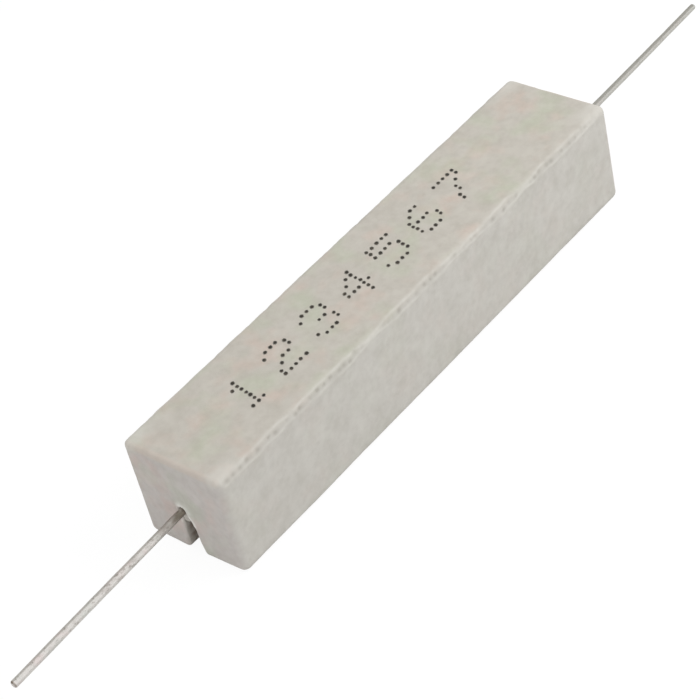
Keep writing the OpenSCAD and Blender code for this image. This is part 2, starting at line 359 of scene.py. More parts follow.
def edge_distance(p):
    """Distance over the surface from where the flat top ends: negative on the top, along the arc
    of the rounded edge, and on down the side."""
    ay, z = np.abs(p[..., 1]) - (CASE_HALF[1] - EDGE), p[..., 2] - (CASE_HALF[2] - EDGE)
    on_arc = EDGE * np.arctan2(ay, np.maximum(z, 1e-6))
    return np.where(ay < 0, ay, np.where(z < 0, EDGE * np.pi / 2 - z, on_arc))


def long_edges(p, n):
    """1 round the two long upper edges, fading towards the far end, and 0 on the end faces."""
    part = (p[..., 2] > 6) * np.clip(1 - 2 * np.abs(n[..., 0]), 0, 1)
    part = part * (np.abs(n[..., 1]) + np.abs(n[..., 2]) > 0.5)
    return part * np.clip((31 - p[..., 0]) / 4, 0.25, 1)


def pit_rows(p, s, centre, long_edge):
    """One row of round pits along each edge at uneven steps, each a bell curve of the distance
    from its middle, and the deeper one where two meet."""
    draw = np.random.default_rng(23)
    pits = np.zeros(s.shape)
    for side in (-1, 1):
        at = PIT_RUN[0]
        here = (p[..., 1] * side > 0) * long_edge
        while at < PIT_RUN[1]:
            ds, width, deep = draw.normal(0, 0.07), draw.uniform(*PIT_R), draw.uniform(0.3, 1.0)
            d2 = ((p[..., 0] - at) / (1.25 * width)) ** 2 + ((s - centre - ds) / width) ** 2
            pits = np.maximum(pits, here * deep * np.exp(-d2))
            at += draw.uniform(*PIT_STEP)
    return pits


def squarer_edge(p, n):
    """How far the near end's top edge stands out past an arc: the arc's normal, measured by the
    higher power in place of 2, is shorter, and the radius grows by as much."""
    turned = np.maximum(np.hypot(n[..., 0], n[..., 2]), 1e-6)
    across_x, across_z = np.abs(n[..., 0]) / turned, np.abs(n[..., 2]) / turned
    powers = across_x ** SQUARE_POWER + across_z ** SQUARE_POWER
    squarer = np.maximum(powers, 0.6) ** (-1 / SQUARE_POWER)
    end_top = (p[..., 0] < EDGE - CASE_HALF[0]) * (p[..., 2] > CASE_HALF[2] - EDGE)
    return end_top * (turned > 1e-3) * EDGE * (squarer - 1) * turned ** 2


def ridge_and_pits(p, n):
    """How far the fired surface stands off the true form, in mm, how pale it is, from wear and a
    painted highlight, and how pitted it is. Broad waves and fine grain lie everywhere. Along the long
    upper edges the distance s over the surface, from where the top ends, places two low ridges that
    part and meet again by turns, with round pits at uneven steps between them. The ridges are paler,
    with a painted highlight as well as wear. The near end's top edge is squarer than an arc."""
    wave = 0.022 * cloud(p, 7.0, 1) + 0.010 * cloud(p, 2.3, 2) + 0.004 * cloud(p, 0.8, 3)
    edge = np.clip((1 - np.abs(n).max(-1)) / 0.22, 0, 1)
    s = edge_distance(p)
    long_edge = long_edges(p, n)
    along = p * [1, 0, 0] + np.where(p[..., 1:2] < 0, 0.0, 40.0) * [0, 1, 0]
    parted = np.clip(1.1 + 1.4 * cloud(along, 4.2, 4), 0, 1)
    centre = 0.90 + 0.07 * cloud(along, 2.4, 5) + 0.05 * cloud(along, 0.8, 6)
    half = 0.13 + 0.30 * parted + 0.05 * cloud(along, 1.0, 7)
    rough = cloud(p * [1, 1.5, 1.5], 0.45, 8)
    upper = 0.8 + 0.5 * cloud(along, 1.4, 9) + 0.4 * rough
    upper = np.exp(-((s - centre + half) / RIDGE_WIDTH) ** 2) * upper
    lower = 0.75 + 0.4 * cloud(along, 1.2, 10) + 0.3 * rough
    lower = np.exp(-((s - centre - half) / RIDGE_WIDTH) ** 2) * lower
    between_lines = parted * np.exp(-((s - centre) / (0.12 + 0.5 * half)) ** 2)
    pits = pit_rows(p, s, centre, long_edge) * np.clip(0.25 + parted, 0, 1)
    ring = np.clip(pits * 4, 0, 1) * np.clip(1 - pits * 2.2, 0, 1)
    from_corner = ((np.abs(p[..., 0]) - 30.7) / 2.6) ** 2 + ((s - 0.1) / 1.25) ** 2
    corner = np.exp(-from_corner ** 1.3) * (0.85 + 0.4 * cloud(p, 0.7, 11))
    corner = corner * np.clip((p[..., 2] - 10.8) / 1.0, 0, 1)
    chips = edge * np.clip(cloud(p, 1.1, 12) - 0.4, 0, 1)
    ridges = UPPER_RIDGE * upper + LOWER_RIDGE * lower
    off = wave + long_edge * (ridges - BETWEEN_DEPTH * between_lines - PIT_DEPTH * pits)
    off = off - CHIP_DEPTH * chips - 0.02 * edge * np.clip(cloud(p, 0.5, 13), 0, 1)
    off = off + squarer_edge(p, n)
    # Paleness, partly wear and partly a painted highlight: on the two ridges, round the pits, over the
    # corner patch at each end and a little on every edge
    pale = long_edge * (upper + lower + 0.35 * ring) + 1.3 * corner * (1 - pits) + 0.08 * edge
    pitted = long_edge * (pits + 0.2 * between_lines) + 0.4 * chips
    return off, np.clip(pale, 0, 1.2), np.clip(pitted, 0, 1)


# How far the cement smeared round the top of a slot stands out
CREST_RISE = 0.07
# Half width and height of the space inside a slot
SLOT_HALF, SLOT_TOP = 1.5, 6.4


def cement_crest(p):
    """Share of smeared cement on the end faces round the top of each slot: a bell curve of the
    distance from the slot's outline, further out and wider at the top. It fades out down the
    sides and towards +Y, and comes and goes with the cloud."""
    curve_y, curve_z, _, _ = slot_line(np.linspace(0, 1, 200))
    by_slot = (np.abs(p[..., 0]) > 31.2) & (np.abs(p[..., 1]) < 2.2) & (p[..., 2] < 7.5)
    q = p[by_slot]
    from_slot = np.hypot(q[:, 1:2] - curve_y, q[:, 2:3] - curve_z).min(1)
    high = np.clip((q[:, 2] - 5.2) / 0.5, 0, 1)
    crest = np.exp(-((from_slot - 0.22 - 0.11 * high) / (0.16 + 0.26 * high)) ** 2)
    crest = crest * np.clip((q[:, 2] - 3.4) / 0.6, 0, 1) * np.clip((1.2 - q[:, 1]) / 0.7, 0, 1)
    share = np.zeros(p.shape[:-1])
    share[by_slot] = crest * np.clip(0.85 + 0.8 * cloud(q, 0.45, 14), 0, 1)
    return share


def grid_faces(rows, columns, wrap_rows, wrap_columns):
    """Four-cornered faces between neighbouring points of a grid of rows by columns."""
    i = np.arange(rows if wrap_rows else rows - 1)[:, None]
    j = np.arange(columns if wrap_columns else columns - 1)[None, :]
    i2, j2 = (i + 1) % rows, (j + 1) % columns
    corner = [i * columns + j, i * columns + j2, i2 * columns + j2, i2 * columns + j]
    return np.stack([np.broadcast_to(c, (i.size, j.size)) for c in corner], -1).reshape(-1, 4)


def make_piece(name, points, faces, mat, node=None, flip=False):
    """A closed mesh in metres from points in mm. Points that fall together are joined. A corner
    that falls on the next one is left out, and so is a face that shrinks to a line. Flip turns
    the faces over, where the order of the grid would make them point inwards. Gives the object,
    and which of the given points each of its own points is."""
    key = np.round(points, 5)
    _, first, where = np.unique(key, axis=0, return_index=True, return_inverse=True)
    where = where.reshape(-1)
    order = np.argsort(first)
    rank = np.empty_like(order)
    rank[order] = np.arange(len(order))
    points = points[first[order]]
    loops = []
    for f in faces:
        f = rank[where[f]]
        if flip:
            f = np.hstack([f[:, :1], f[:, :0:-1]])
        apart = f != np.roll(f, -1, axis=1)
        for corners in range(3, f.shape[1] + 1):
            some = apart.sum(1) == corners
            whole = f[some][apart[some]].reshape(-1, corners)
            open_ones = (np.diff(np.sort(whole, axis=1), axis=1) > 0).all(1)
            loops += whole[open_ones].tolist()
    mesh = bpy.data.meshes.new(name)
    mesh.from_pydata((points / 1000).tolist(), [], loops)
    mesh.materials.append(mat)
    mesh.polygons.foreach_set("use_smooth", [True] * len(mesh.polygons))
    obj = bpy.data.objects.new(name, mesh)
    bpy.context.scene.collection.objects.link(obj)
    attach(obj, "root")
    if node:
        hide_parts(node)
    return obj, first[order]


def paint(obj, name, values):
    """Stores one value for each point of the mesh under that name."""
    layer = obj.data.attributes.new(name, "FLOAT", "POINT")
    layer.data.foreach_set("value", np.asarray(values, np.float32))


far, far_stage, far_inner = end_lines()
run_x = steps(-(CASE_HALF[0] - EDGE), CASE_HALF[0] - EDGE, 0.14, 0.22, 3.0)
outer = [section(x) for x in run_x]
pocket_end = POCKET_X - POCKET_R
inner_run = []
for x in np.linspace(pocket_end, -pocket_end, 30)[1:-1]:
    place, normal = far_inner[-1]
    inner_run.append((place * [0, 1, 1] + [x, 0, 0], normal))
near = [(p * [-1, 1, 1], n * [-1, 1, 1]) for p, n in far[::-1]]
near_inner = [(p * [-1, 1, 1], n * [-1, 1, 1]) for p, n in far_inner[::-1]]
lines = outer + far + far_inner + inner_run + near_inner + near
shell_p = np.stack([p for p, n in lines])
shell_n = np.stack([n for p, n in lines])
open_face = np.zeros(len(lines), bool)
open_face[:len(outer) + len(far)] = True
open_face[-len(near):] = True
off, worn_and_highlit, pitted = ridge_and_pits(shell_p, shell_n)
smeared = cement_crest(shell_p)
# In the slot, deeper from the end face: where the slot's walls get a painted shade
in_slot = (np.abs(shell_p[..., 1]) < SLOT_HALF) & (shell_p[..., 2] < SLOT_TOP)
hollow = in_slot * np.clip((31.68 - np.abs(shell_p[..., 0])) / 0.8, 0, 1)
# How far a point faces up, and how far it faces an end outside the slot. They carry a painted shade
# and tint on the top and end faces, a painted highlight on the edge between them, and the strength of
# the pink and green blotches.
topside = np.clip(shell_n[..., 2], 0, 1) ** 2
endwise = shell_n[..., 0] ** 2 * (1 - hollow)
off = off * open_face[:, None] + CREST_RISE * smeared
shell_p = shell_p + shell_n * off[..., None]

# The rim's flat strip joins the outer edge of the loop to its inner edge, on both sides
n_out, n_far, n_in = len(outer), len(far), len(far_inner)
n_run = len(inner_run)
outer_ids = np.concatenate([
    np.arange(len(lines) - n_far, len(lines)), np.arange(n_out), np.arange(n_out, n_out + n_far)])
run_stage = (run_x - run_x[0]) / (run_x[-1] - run_x[0])
outer_stage = np.concatenate([-np.array(far_stage[::-1]), run_stage * 4, 4 + np.array(far_stage)])
inner_start = n_out + n_far
inner_ids = np.arange(inner_start, inner_start + 2 * n_in + n_run)[::-1]
near_part = np.linspace(-2, 0, n_in)
inner_stage = np.concatenate([near_part, np.linspace(0, 4, n_run + 2)[1:-1], 4 - near_part[::-1]])


def strip(a, a_at, b, b_at):
    """Triangles between two lines of points: both are walked together, and each step goes to
    whichever line's next point comes first."""
    n_a, n_b = len(a), len(b)
    at = np.concatenate([a_at[1:], b_at[1:]])
    from_a = np.concatenate([np.ones(n_a - 1, bool), np.zeros(n_b - 1, bool)])
    turn = from_a[np.argsort(at, kind="stable")]
    i = np.concatenate([[0], np.cumsum(turn)])[:-1]
    j = np.concatenate([[0], np.cumsum(~turn)])[:-1]
    last = np.where(turn, a[np.minimum(i + 1, n_a - 1)], b[np.minimum(j + 1, n_b - 1)])
    return np.stack([a[i], last, b[j]], -1)


columns = len(PATH)
rim_low = strip(outer_ids * columns, outer_stage, inner_ids * columns, inner_stage)
rim_high = strip(outer_ids * columns + columns - 1, outer_stage,
                 inner_ids * columns + columns - 1, inner_stage)[:, ::-1]
shell_faces = grid_faces(len(lines), columns, True, False)

case_mat, tree, shader, coord = finish("ceramic", (0.55, 0.53, 0.485), 0.8)
body, pinkish, greenish = (0.552, 0.532, 0.494), (0.600, 0.512, 0.462), (0.512, 0.542, 0.448)
cloud_dark, grain_dark, pale = (0.47, 0.45, 0.405), (0.46, 0.44, 0.395), (0.63, 0.615, 0.57)
peach_edge_highlight, rubbed_and_highlit, pit_shade = (0.63, 0.535, 0.46), (0.66, 0.64, 0.59), (0.36, 0.34, 0.30)
cement_smear, slot_painted_shade = (0.88, 0.87, 0.83), (0.27, 0.215, 0.18)
kilned = between(tree, painted(tree, "kilned"), 0, 1, 0.2, 1.0)
blotch = between(tree, grain(tree, coord, 4.2, detail=2, rough=0.6), 0.5, 0.68, 0, 0.78)
colour = tint(tree, body, pinkish, product(tree, blotch, kilned))
green = grain(tree, coord, 5.0, detail=2, rough=0.6, shift=0.031)
green = between(tree, green, 0.5, 0.68, 0, 0.78)
colour = tint(tree, colour, greenish, product(tree, green, kilned))
cloudy = grain(tree, coord, 2.0, detail=3, rough=0.6, shift=0.11)
colour = tint(tree, colour, cloud_dark, between(tree, cloudy, 0.5, 0.72, 0, 0.45))
colour = tint(tree, colour, pale, between(tree, cloudy, 0.5, 0.28, 0, 0.4))
mottle = grain(tree, coord, 0.8, detail=5, rough=0.62, shift=0.07)
colour = tint(tree, colour, grain_dark, between(tree, mottle, 0.5, 0.75, 0, 0.38))
colour = tint(tree, colour, pale, between(tree, mottle, 0.5, 0.25, 0, 0.32))
# Painted shade and tint by facing: the top a little darker and warmer, the ends a little pinker
colour = tint(tree, colour, (0.977, 0.955, 0.918), painted(tree, "topside"), "MULTIPLY")
colour = tint(tree, colour, (1.008, 0.980, 1.004), painted(tree, "endwise"), "MULTIPLY")
# A painted peach highlight along the rounded edge between the top and each end face
end_rim = product(tree, painted(tree, "topside"), painted(tree, "endwise"))
colour = tint(tree, colour, peach_edge_highlight, between(tree, end_rim, 0.03, 0.2, 0, 0.5))
# Pale where worn, with a painted highlight on the same ridges and edges
colour = tint(tree, colour, rubbed_and_highlit, between(tree, painted(tree, "worn_and_highlit"), 0, 1.2, 0, 0.62))
colour = tint(tree, colour, pit_shade, between(tree, painted(tree, "pitted"), 0, 1, 0, 0.75))
colour = tint(tree, colour, cement_smear, between(tree, painted(tree, "smeared"), 0, 1, 0, 0.95))
# Painted shade on the slot's walls, darker deeper in, broken up by noise
slot_shade_patches = between(tree, grain(tree, coord, 0.6, detail=3, shift=0.05), 0.42, 0.6, 0.45, 0.95)
colour = tint(tree, colour, slot_painted_shade, product(tree, slot_shade_patches, painted(tree, "hollow")))
tree.links.new(colour, shader.inputs["Base Color"])
tree.links.new(between(tree, mottle, 0.3, 0.7, 0.72, 0.9), shader.inputs["Roughness"])
shader.inputs["Specular IOR Level"].default_value = 0.35
fine = relief(tree, shader, grain(tree, coord, 0.12, detail=4, rough=0.65), 0.012)
relief(tree, shader, grain(tree, coord, 0.5, detail=3, shift=0.013), 0.02, under=fine)

case_obj, kept = make_piece(
    "case_shell", shell_p.reshape(-1, 3), [shell_faces, rim_low, rim_high], case_mat,
    node="ceramic_case", flip=True)
marks = {"worn_and_highlit": worn_and_highlit, "pitted": pitted, "smeared": smeared, "hollow": hollow, "topside": topside,
         "endwise": endwise, "kilned": np.maximum(topside, endwise)}
for label, values in marks.items():
    paint(case_obj, label, (values * open_face[:, None]).reshape(-1)[kept])


# Cement filling
# Cast cement: seals the element in the trough, level with the rim below, and fills the top of
# each slot round the lead. Its open face has the air-bubble pits and ripples of a pour.

# The wire's place where it passes through the slot
LEAD_Y, LEAD_Z = 0.4, 5.48
LEAD_R = 0.4
# Clearance between the cement and the case, and round the wire
GAP = 0.03
# The plug's greatest reach from the wire's axis, and where it ends
PLUG_R, PLUG_END = 1.42, 31.6
# The side where the pour ran short: its direction and spread in degrees, and the reach left there
SHORT_AT, SHORT_SPREAD, SHORT_REACH = -72, 40, 0.56
cement_w, cement_top = POCKET_Y - GAP, POCKET_Z - GAP


def ray_angles():
    """Directions from the lead's axis, close together where they meet the open face below and
    with one through each of its corners."""
    low_y = np.linspace(-cement_w, cement_w, 53) - LEAD_Y
    low = np.arctan2(low_y, LEAD_Z)
    side = np.linspace(low[-1], low[0] + 2 * np.pi, 80)[1:-1]
    return np.concatenate([low, side])


ray = ray_angles()
ray_y, ray_z = np.sin(ray), -np.cos(ray)


def to_box(half, top):
    """Distance along each ray to a box of that half width, between the base and the top."""
    side = (half - LEAD_Y * np.sign(ray_y)) / np.maximum(np.abs(ray_y), 1e-9)
    up = np.where(ray_z > 0, (top - LEAD_Z) / np.maximum(ray_z, 1e-9), np.inf)
    down = np.where(ray_z < 0, LEAD_Z / np.maximum(-ray_z, 1e-9), np.inf)
    return np.minimum(np.minimum(side, up), down)


def to_section():
    """Distance along each ray to the pocket's section, with its two rounded upper corners."""
    flat = to_box(cement_w, cement_top)
    cy = (cement_w - POCKET_R) * np.sign(ray_y) - LEAD_Y
    cz = cement_top - POCKET_R - LEAD_Z
    dot = ray_y * cy + ray_z * cz
    root = np.maximum(dot ** 2 - cy ** 2 - cz ** 2 + POCKET_R ** 2, 0)
    in_corner = (np.sign(ray_y) * (ray_y * flat - cy) > 0) & (ray_z * flat > cz)
    return np.where(in_corner, np.minimum(dot + np.sqrt(root), flat), flat)


def to_slot():
    """Distance along each ray to the plug's outline: the slot's outline less the clearance, cut
    by a circle, and held back to a thin skin on the lead's -Y side, where the pour ran short."""
    y, z, my, mz = slot_line(np.linspace(0, 1, 600))
    y, z = y + GAP * my - LEAD_Y, z + GAP * mz - LEAD_Z
    angle = np.unwrap(np.arctan2(y, -z))
    order = np.argsort(angle)
    wall = np.interp(np.mod(ray - angle.min(), 2 * np.pi) + angle.min(), angle[order],
                     np.hypot(y, z)[order], left=9, right=9)
    reach = np.minimum(wall, PLUG_R)
    from_short = np.mod(np.degrees(ray) - SHORT_AT + 180, 360) - 180
    short = np.exp(-(from_short / SHORT_SPREAD) ** 4)
    return reach + (np.minimum(SHORT_REACH, reach) - reach) * short


plug, whole = to_slot(), to_section()


def ring(x, reach):
    """One closed ring round the lead's axis at x."""
    reach = np.broadcast_to(reach, ray.shape)
    return np.stack([np.full_like(reach, x), LEAD_Y + ray_y * reach, LEAD_Z + ray_z * reach], -1)


hole = LEAD_R + GAP
face_x, wall_x = PLUG_END - 0.06, POCKET_X - GAP
rings = []
for f in np.linspace(0, 1, 9):
    bulge = 0.0 if f == 1 else 0.10 * math.cos(f * math.pi / 2)
    spread = 0.02 + 0.96 * f if 0 < f < 1 else f
    rings.append(ring(face_x + bulge * 0.6, hole + (plug - hole) * spread))
for x in np.linspace(PLUG_END - 0.12, POCKET_X + 0.02, 6):
    rings.append(ring(x, plug))
end_half = cement_w - POCKET_R
at_wall = np.minimum(to_box(end_half, cement_top), whole)
for f in np.linspace(0, 1, 5):
    rings.append(ring(wall_x, plug + (at_wall - plug) * f))
for b in np.radians(np.linspace(0, 90, 7))[1:]:
    corner_x = wall_x - POCKET_R * (1 - math.cos(b))
    half = end_half + POCKET_R * math.sin(b)
    rings.append(ring(corner_x, np.minimum(to_box(half, cement_top), whole)))
end_rings = np.stack(rings)
middle_x = np.linspace(wall_x - POCKET_R, -(wall_x - POCKET_R), 220)[1:-1]
run_rings = np.stack([ring(x, whole) for x in middle_x])

# The element's space inside, from the near lead's hole to the far one. Its radii are those round
# the winding, round the last turns on a cap, and round the cap, its bend, the head and the wire.
wound, on_cap, cap_r = 3.22, 3.63, 3.14
half_space = [
    (face_x, hole), (25.78, hole), (25.78, 0.78), (25.43, 0.78), (25.43, cap_r - 0.93),
    (25.35, cap_r - 0.55), (25.16, cap_r - 0.27), (24.88, cap_r - 0.08), (24.5, cap_r), (21.4, cap_r),
    (21.4, on_cap), (19.3, on_cap), (19.3, wound)]
profile = half_space[1:] + [(-x, r) for x, r in half_space[:0:-1]]
space_rings = np.stack([ring(x, r) for x, r in profile])[::-1]
near_rings = (end_rings * [-1, 1, 1])[::-1]
all_rings = np.concatenate([end_rings, run_rings, near_rings, space_rings])

# The open face: bubbles burst at the surface, a shallow sag, and a rise where it meets the rim
under = all_rings[..., 2] < 1e-6
p = all_rings
sag = 0.10 * (1 - (p[..., 1] / cement_w) ** 4) + 0.03 * cloud(p, 5, 21) + 0.015 * cloud(p, 1.3, 22)
BUBBLES = 70
rng = np.random.default_rng(5)
bubble_x, bubble_y = rng.uniform(-28.5, 28.5, BUBBLES), rng.uniform(-4.2, 4.2, BUBBLES)
bubble_r = rng.uniform(0.18, 0.6, BUBBLES) ** 1.3
pit_depth = np.zeros(p.shape[:2])
for bx, by, br in zip(bubble_x, bubble_y, bubble_r):
    d2 = ((p[..., 0] - bx) ** 2 + (p[..., 1] - by) ** 2) / br ** 2
    pit_depth = np.maximum(pit_depth, 0.7 * br * np.clip(1 - d2, 0, 1))
from_side = np.clip((cement_w - np.abs(p[..., 1])) / 0.3, 0, 1)
from_end = np.clip((POCKET_X - np.abs(p[..., 0])) / 0.3, 0, 1)
rise = under * from_side * from_end * (np.maximum(sag, 0.01) + pit_depth)
all_rings = all_rings + np.stack([0 * sag, 0 * sag, rise], -1)

cement_mat, tree, shader, coord = finish("cement", (0.66, 0.64, 0.59), 0.9)
cloudy = grain(tree, coord, 1.6, detail=4)
colour = tint(tree, (0.66, 0.645, 0.6), (0.55, 0.53, 0.48), between(tree, cloudy, 0.42, 0.72, 0, 0.8))
sand = grain(tree, coord, 0.22, detail=3, rough=0.7)
colour = tint(tree, colour, (0.42, 0.4, 0.36), between(tree, sand, 0.6, 0.78, 0, 0.5))
apart = tree.nodes.new("ShaderNodeSeparateXYZ")
tree.links.new(coord, apart.inputs[0])
far_out = tree.nodes.new("ShaderNodeMath")
far_out.operation = "ABSOLUTE"
tree.links.new(apart.outputs[0], far_out.inputs[0])
# Painted shade on the cement plug inside each slot: darker past 29.3 mm from the middle
plug_painted_shade = between(tree, far_out.outputs[0], 0.0293, 0.0298, 0, 0.45)
colour = tint(tree, colour, (0.40, 0.36, 0.32), plug_painted_shade)
tree.links.new(colour, shader.inputs["Base Color"])
fine = relief(tree, shader, sand, 0.03)
relief(tree, shader, cloudy, 0.05, under=fine)
make_piece(
    "cement_pour", all_rings.reshape(-1, 3), [grid_faces(len(all_rings), len(ray), True, True)],
    cement_mat, node="cement_filling", flip=True)


# Leads
# Tinned copper wire, upset to a small head where it is welded to the cap, cut at its free end
# and bent a degree or so where it leaves the case. Handling has left slight dents.

lead_mat, tree, shader, coord = finish("tinned_wire", (0.72, 0.7, 0.66), 0.3, 1.0)
smudge = grain(tree, coord, 0.85, detail=5, rough=0.66, stretch=(0.6, 1, 1))
colour = tint(tree, (0.745, 0.72, 0.69), (0.50, 0.46, 0.43), between(tree, smudge, 0.5, 0.72, 0, 0.9))
warm = grain(tree, coord, 1.7, detail=3, shift=0.05)
colour = tint(tree, colour, (0.77, 0.68, 0.66), between(tree, warm, 0.5, 0.64, 0, 0.65))
cool = grain(tree, coord, 1.9, detail=3, shift=0.09)
colour = tint(tree, colour, (0.69, 0.70, 0.66), between(tree, cool, 0.54, 0.68, 0, 0.7))
fleck = grain(tree, coord, 0.36, detail=4, rough=0.7, stretch=(0.7, 1, 1), shift=0.02)
colour = tint(tree, colour, (0.34, 0.31, 0.28), between(tree, fleck, 0.54, 0.68, 0, 0.8))
colour = tint(tree, colour, (0.55, 0.542, 0.50), between(tree, painted(tree, "dulled"), 0, 1, 0, 0.75))
rusty = grain(tree, coord, 0.7, detail=3, stretch=(0.5, 1, 1), shift=0.06)
rusty = between(tree, rusty, 0.4, 0.6, 0.3, 1.0)
colour = tint(tree, colour, (0.24, 0.20, 0.16), product(tree, rusty, painted(tree, "stain")))
tree.links.new(colour, shader.inputs["Base Color"])
tree.links.new(between(tree, smudge, 0.35, 0.7, 0.26, 0.45), shader.inputs["Roughness"])
scratch = grain(tree, coord, 0.3, detail=3, stretch=(0.15, 1, 1))
fine = relief(tree, shader, scratch, 0.008)
relief(tree, shader, grain(tree, coord, 0.5, detail=3, shift=0.04), 0.02, under=fine)

# The upset head: where it starts, its radius, its thickness and the radius of its corners
HEAD_X, HEAD_R, HEAD_T, HEAD_ROUND = 25.4, 0.75, 0.35, 0.05
# Radius that rounds the cut end
CUT_R = 0.2
# Share of the free length over which the wire takes its bend at the wall
BEND = 0.012
# Points round the wire, and a ring so small that it closes the end of the bar
AROUND, POLE = 32, 1e-6


def lead_mesh(name, node, side, tip, seed):
    """A round bar carried along its path: the radius follows the head, the wire and the cut
    end, and the path leaves the axis at the wall with a small bend towards the tip."""
    wall = CASE_HALF[0]
    reach = abs(tip[0])
    head_end = HEAD_X + HEAD_T
    x = np.concatenate([
        [HEAD_X, HEAD_X, HEAD_X + HEAD_ROUND, head_end - HEAD_ROUND, head_end, head_end + 0.01],
        np.linspace(HEAD_X + 0.4, wall - 1, 14), steps(wall - 0.9, reach - 0.3, 0.12, 0.3, 3)])
    r = np.full(len(x), LEAD_R)
    r[:6] = [POLE, HEAD_R - HEAD_ROUND, HEAD_R, HEAD_R, HEAD_R - HEAD_ROUND, LEAD_R]
    turn = np.radians(np.linspace(0, 90, 7))
    x = np.concatenate([x, reach - CUT_R + CUT_R * np.sin(turn), [reach + 0.004]])
    r = np.concatenate([r, LEAD_R - CUT_R + CUT_R * np.cos(turn), [POLE]])
    out = np.clip((x - wall) / (reach - wall), 0, None)
    free = np.clip(out * 8, 0, 1) * np.clip((1 - out) * 20, 0, 1)
    soft = out - BEND * (1 - np.exp(-out / BEND))
    line_y = LEAD_Y + (tip[1] - LEAD_Y) * soft / (1 - BEND)
    line_z = LEAD_Z + (tip[2] - LEAD_Z) * soft / (1 - BEND)
    probe = np.stack([x, np.full_like(x, seed * 10.0), np.zeros_like(x)], -1)
    line_y = line_y + 0.02 * free * cloud(probe, 9, seed)
    line_z = line_z + 0.02 * free * cloud(probe, 8, seed + 1)
    around = np.linspace(0, 2 * np.pi, AROUND + 1)[:-1]
    px = side * x[:, None] + 0 * around
    unit_y, unit_z = np.cos(around), np.sin(around)
    shape = np.stack([px, r[:, None] * unit_y, r[:, None] * unit_z], -1)
    dents = 0.008 * cloud(shape, 1.6, seed + 2) + 0.005 * cloud(shape, 0.5, seed + 3)
    dents = dents - 0.03 * np.clip(cloud(shape, 1.2, seed + 4) - 0.45, 0, 1)
    on_free = np.clip(out, 0, 1)
    swell = 0.035 * np.sin(np.pi * on_free) if side < 0 else -0.05 - 0.09 * on_free
    r = r * (1 + swell)
    rr = r[:, None] + np.where(r[:, None] > 0.01, dents * np.clip(out * 30, 0, 1)[:, None], 0)
    points = np.stack([px, line_y[:, None] + rr * unit_y, line_z[:, None] + rr * unit_z], -1)
    obj, kept = make_piece(
        name, points.reshape(-1, 3), [grid_faces(len(x), AROUND, False, True)], lead_mat,
        node=node, flip=side < 0)
    past = (x - wall)[:, None] + 1.2 * cloud(shape, 1.1, seed + 5)
    near_wall = np.clip(1.15 - past / 4.4, 0, 1) * 0.85 + 0 * rr
    cut_rim = ((x > reach - 0.12) & (x < reach - 0.003))[:, None] * (2.0 if side < 0 else 0.5)
    paint(obj, "stain", np.maximum(near_wall, cut_rim).reshape(-1)[kept])
    paint(obj, "dulled", np.full(len(kept), 0.0 if side < 0 else 1.0))


lead_mesh("near_wire", "lead_near", -1, (-55.61, -0.017, 5.190), 31)
lead_mesh("far_wire", "lead_far", 1, (58.72, 0.653, 5.768), 41)


# Printed number
# A row of ink dots from a jet printer on the top face. The rating is replaced by plain digits,
# with the real print's place, slant, pitch and dot size.

DIGITS = {
    "1": "00100 01100 00100 00100 00100 00100 01110",
    "2": "01110 10001 00001 00110 01000 10000 11111",
    "3": "01110 10001 00001 00110 00001 10001 01110",
    "4": "00010 00110 01010 10010 11111 00010 00010",
    "5": "11111 10000 11110 00001 00001 10001 01110",
    "6": "00110 01000 10000 11110 10001 10001 01110",
    "7": "11111 00001 00010 00100 00100 01000 01000",
}
# Steps between the dots of a digit along and across the print, and from one digit to the next
COLUMN, ROW, CELL = 0.80, 0.65, 5.75
# A dot's long and short radius, and the direction of the long one
DOT_LONG, DOT_SHORT, DOT_TURN = 0.30, 0.235, math.radians(48)
# Where the print starts, how far it is turned on the face, and how far each digit leans
PRINT_X, PRINT_Y, PRINT_TURN, LEAN = -22.35, -2.3, math.radians(0.8), 0.18
# A dot's rings: share of its radius, height over the first ring, and how far the ink soaked in
DOT_RINGS = ((1.0, 0.000, 1.0), (0.8, 0.008, 0.35), (0.6, 0.013, 0.0), (0.0, 0.015, 0.0))
DOT_SIDES = 16
spots = []
for place, digit in enumerate("1234567"):
    for row, dots in enumerate(DIGITS[digit].split()):
        for column, dot in enumerate(dots):
            if dot == "1":
                spots.append((place * CELL + column * COLUMN, (6 - row) * ROW))
spots = np.array(spots)
rng = np.random.default_rng(11)
spots = spots + rng.normal(0, 0.035, spots.shape)
run, rise = spots[:, 0], spots[:, 1]
spot_x = PRINT_X + run * math.cos(PRINT_TURN) - rise * math.sin(PRINT_TURN) + LEAN * (rise - 2)
spot_y = PRINT_Y + run * math.sin(PRINT_TURN) + rise * math.cos(PRINT_TURN)
size = rng.normal(1, 0.07, len(spots))
turn = np.linspace(0, 2 * np.pi, DOT_SIDES + 1)[:-1]
edge_wobble = 1 + 0.05 * rng.normal(0, 1, (len(spots), DOT_SIDES))
rings = []
for share, lift, _ in DOT_RINGS:
    reach = size[:, None] * edge_wobble * share
    u, v = DOT_LONG * reach * np.cos(turn), DOT_SHORT * reach * np.sin(turn)
    x = spot_x[:, None] + u * math.cos(DOT_TURN) - v * math.sin(DOT_TURN)
    y = spot_y[:, None] + u * math.sin(DOT_TURN) + v * math.cos(DOT_TURN)
    z = np.full_like(x, CASE_HALF[2])
    here = np.stack([x, y, z], -1)
    up = np.broadcast_to([0.0, 0.0, 1.0], here.shape)
    lie, _, _ = ridge_and_pits(here, up)
    rings.append(here + np.stack([0 * x, 0 * x, lie + 0.004 + lift], -1))
dots = np.stack(rings, 1)
count = len(spots)
first_point = np.arange(count) * len(DOT_RINGS) * DOT_SIDES
one = grid_faces(len(DOT_RINGS), DOT_SIDES, False, True)
ink_faces = (one[None] + first_point[:, None, None]).reshape(-1, 4)
